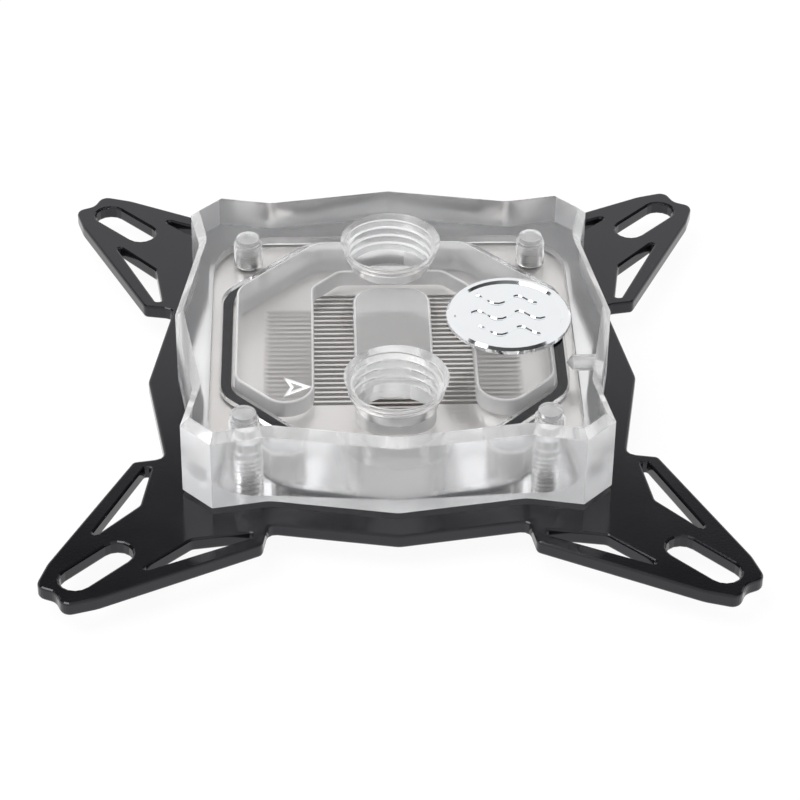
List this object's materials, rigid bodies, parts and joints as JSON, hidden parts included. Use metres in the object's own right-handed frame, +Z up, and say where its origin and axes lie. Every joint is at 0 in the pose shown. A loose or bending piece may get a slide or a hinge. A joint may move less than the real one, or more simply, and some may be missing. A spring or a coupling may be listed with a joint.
{
  "type": "cpu water block",
  "caption": "Clear liquid cooling block for a computer processor, with threaded coolant ports over a finned cold plate, held by an X-shaped mounting bracket.",
  "frame": {"origin": "middle of the cold plate's underside, which is the face that presses on the processor", "axes": "+Z up out of the processor, +Y from the inlet port to the outlet port, +X to the side with the badge"},
  "size_m": [0.0936, 0.0936, 0.0189],
  "materials": {
    "black_coating": "satin black powder coat on steel",
    "clear_acrylic": "clear acrylic, polished outside and milled inside",
    "nickel_plate": "nickel plating on copper, ground flat",
    "black_rubber": "matt rubber",
    "bright_chrome": "bright chrome",
    "screw_steel": "dark steel"
  },
  "bodies": {
    "root": {"mounting_bracket": "black_coating", "acrylic_top": "clear_acrylic", "cold_plate": "nickel_plate", "o_ring": "black_rubber", "badge": "bright_chrome", "cover_screw_1": "screw_steel", "cover_screw_2": "screw_steel", "cover_screw_3": "screw_steel", "cover_screw_4": "screw_steel"}
  },
  "joints": []
}
